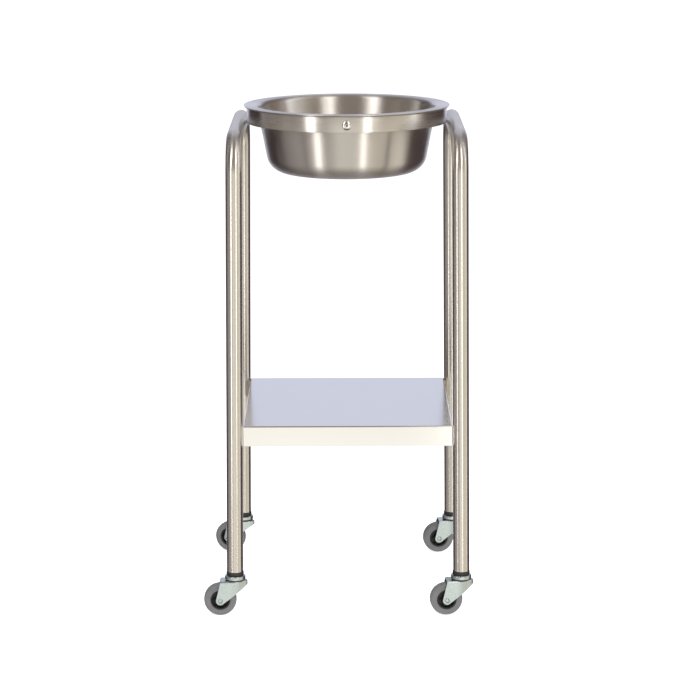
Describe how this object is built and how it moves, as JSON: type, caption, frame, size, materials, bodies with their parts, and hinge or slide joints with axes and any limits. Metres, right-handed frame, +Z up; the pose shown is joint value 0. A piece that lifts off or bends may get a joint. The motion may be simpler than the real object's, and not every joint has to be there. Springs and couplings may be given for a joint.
{
  "type": "wheeled foot bath stand",
  "caption": "Stainless foot bath basin resting in a ring on a tubular stand with a shelf, rolling on swivel casters.",
  "frame": {"origin": "middle of the footprint on the floor, the trailing casters included", "axes": "+Z up, +X to the right, +Y to the back; the basin's axis is parallel to Z, 14.95 mm to the right of the origin"},
  "size_m": [0.42, 0.3902, 0.7787],
  "materials": {
    "basin_steel": "spun stainless, satin",
    "ring_steel": "polished stainless flat bar",
    "tube_steel": "polished stainless tube",
    "sheet_steel": "satin stainless sheet",
    "weld_steel": "dressed weld",
    "rivet_steel": "satin",
    "zinc_plate": "bright zinc plating",
    "spring_steel": "bright",
    "black_plastic": "satin",
    "hub_plastic": "moulded",
    "grey_rubber": "smooth, matt"
  },
  "bodies": {
    "stand": {"side_frame_left": "tube_steel", "side_frame_right": "tube_steel", "ring_band": "ring_steel", "ring_rivet": "rivet_steel", "rivet_mandrel": "rivet_steel", "shelf": "sheet_steel", "ring_welds": "weld_steel", "shelf_welds": "weld_steel", "leg_socket_fl": "black_plastic", "caster_stem_fl": "zinc_plate", "grip_ring_fl": "spring_steel", "upper_race_fl": "zinc_plate", "leg_socket_fr": "black_plastic", "caster_stem_fr": "zinc_plate", "grip_ring_fr": "spring_steel", "upper_race_fr": "zinc_plate", "leg_socket_rl": "black_plastic", "caster_stem_rl": "zinc_plate", "grip_ring_rl": "spring_steel", "upper_race_rl": "zinc_plate", "leg_socket_rr": "black_plastic", "caster_stem_rr": "zinc_plate", "grip_ring_rr": "spring_steel", "upper_race_rr": "zinc_plate"},
    "basin": {"basin": "basin_steel"},
    "swivel_fl": {"fork_fl": "zinc_plate", "dust_seal_fl": "black_plastic", "swivel_balls_fl": "spring_steel", "thrust_washer_fl": "zinc_plate", "axle_fl": "zinc_plate", "axle_sleeve_fl": "spring_steel"},
    "wheel_fl": {"wheel_hub_fl": "hub_plastic", "wheel_tyre_fl": "grey_rubber"},
    "swivel_fr": {"fork_fr": "zinc_plate", "dust_seal_fr": "black_plastic", "swivel_balls_fr": "spring_steel", "thrust_washer_fr": "zinc_plate", "axle_fr": "zinc_plate", "axle_sleeve_fr": "spring_steel"},
    "wheel_fr": {"wheel_hub_fr": "hub_plastic", "wheel_tyre_fr": "grey_rubber"},
    "swivel_rl": {"fork_rl": "zinc_plate", "dust_seal_rl": "black_plastic", "swivel_balls_rl": "spring_steel", "thrust_washer_rl": "zinc_plate", "axle_rl": "zinc_plate", "axle_sleeve_rl": "spring_steel"},
    "wheel_rl": {"wheel_hub_rl": "hub_plastic", "wheel_tyre_rl": "grey_rubber"},
    "swivel_rr": {"fork_rr": "zinc_plate", "dust_seal_rr": "black_plastic", "swivel_balls_rr": "spring_steel", "thrust_washer_rr": "zinc_plate", "axle_rr": "zinc_plate", "axle_sleeve_rr": "spring_steel"},
    "wheel_rr": {"wheel_hub_rr": "hub_plastic", "wheel_tyre_rr": "grey_rubber"}
  },
  "joints": [
    {"name": "basin_lift", "type": "slide", "parent": "stand", "child": "basin", "axis": [0, 0, 1], "range_m": [0, 0.15]},
    {"name": "swivel_fl_turn", "type": "hinge", "parent": "stand", "child": "swivel_fl", "pos_m": [-0.16107, -0.1755, 0.06], "axis": [0, 0, 1], "continuous": true},
    {"name": "wheel_fl_roll", "type": "hinge", "parent": "swivel_fl", "child": "wheel_fl", "pos_m": [-0.18456, -0.17632, 0.0254], "axis": [-0.0349, 0.9994, 0], "continuous": true},
    {"name": "swivel_fr_turn", "type": "hinge", "parent": "stand", "child": "swivel_fr", "pos_m": [0.19097, -0.1755, 0.06], "axis": [0, 0, 1], "continuous": true},
    {"name": "wheel_fr_roll", "type": "hinge", "parent": "swivel_fr", "child": "wheel_fr", "pos_m": [0.1676, -0.17796, 0.0254], "axis": [-0.1045, 0.9945, 0], "continuous": true},
    {"name": "swivel_rl_turn", "type": "hinge", "parent": "stand", "child": "swivel_rl", "pos_m": [-0.16107, 0.1755, 0.06], "axis": [0, 0, 1], "continuous": true},
    {"name": "wheel_rl_roll", "type": "hinge", "parent": "swivel_rl", "child": "wheel_rl", "pos_m": [-0.18342, 0.18276, 0.0254], "axis": [0.309, 0.9511, 0], "continuous": true},
    {"name": "swivel_rr_turn", "type": "hinge", "parent": "stand", "child": "swivel_rr", "pos_m": [0.19097, 0.1755, 0.06], "axis": [0, 0, 1], "continuous": true},
    {"name": "wheel_rr_roll", "type": "hinge", "parent": "swivel_rr", "child": "wheel_rr", "pos_m": [0.1677, 0.17223, 0.0254], "axis": [-0.1392, 0.9903, 0], "continuous": true}
  ]
}
